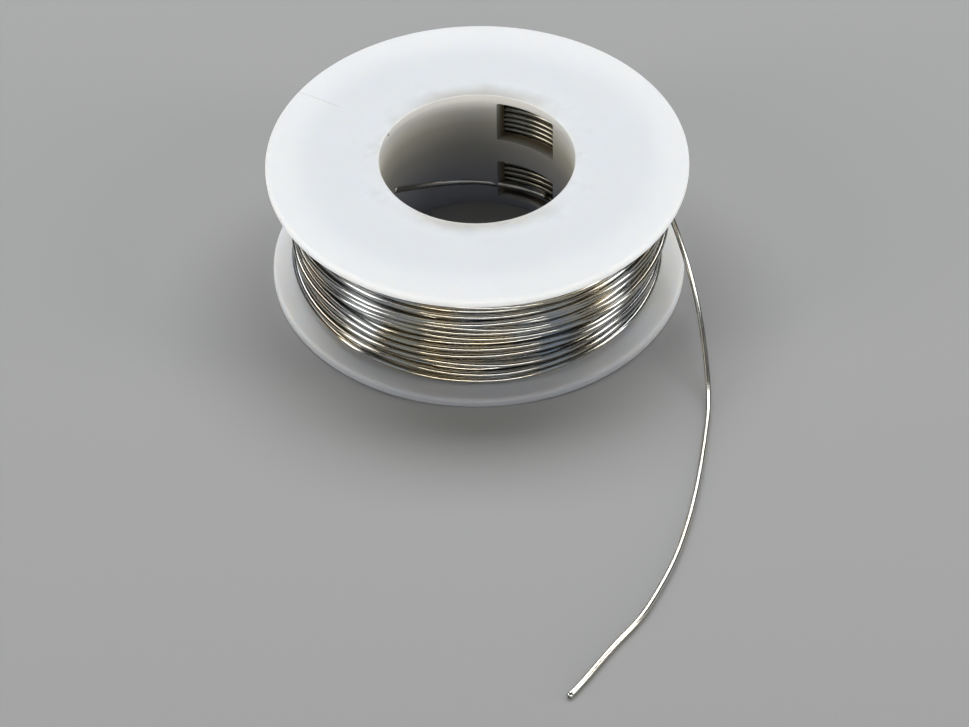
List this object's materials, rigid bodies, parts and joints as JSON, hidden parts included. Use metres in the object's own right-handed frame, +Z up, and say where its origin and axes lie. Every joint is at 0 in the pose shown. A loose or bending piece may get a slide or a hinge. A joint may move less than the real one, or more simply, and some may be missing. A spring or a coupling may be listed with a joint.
{
  "type": "solder wire spool",
  "caption": "Small spool of solder: a hollow windowed hub between two round flanges, fully wound with thin wire, its free end laid out in front.",
  "frame": {"origin": "centre of the spool's bottom face, on the surface that it stands on", "axes": "+Z up along the spool's axis; -Y is the side that the free end of the wire runs out to"},
  "size_m": [0.0585, 0.1076, 0.0193],
  "materials": {
    "spool_plastic": "satin",
    "solder": "gloss",
    "flux": "gloss"
  },
  "bodies": {
    "root": {"lower_flange": "spool_plastic", "upper_flange": "spool_plastic", "hub_barrel": "spool_plastic", "solder_winding": "solder", "start_tail": "solder", "free_end": "solder", "flux_core": "flux"}
  },
  "joints": []
}
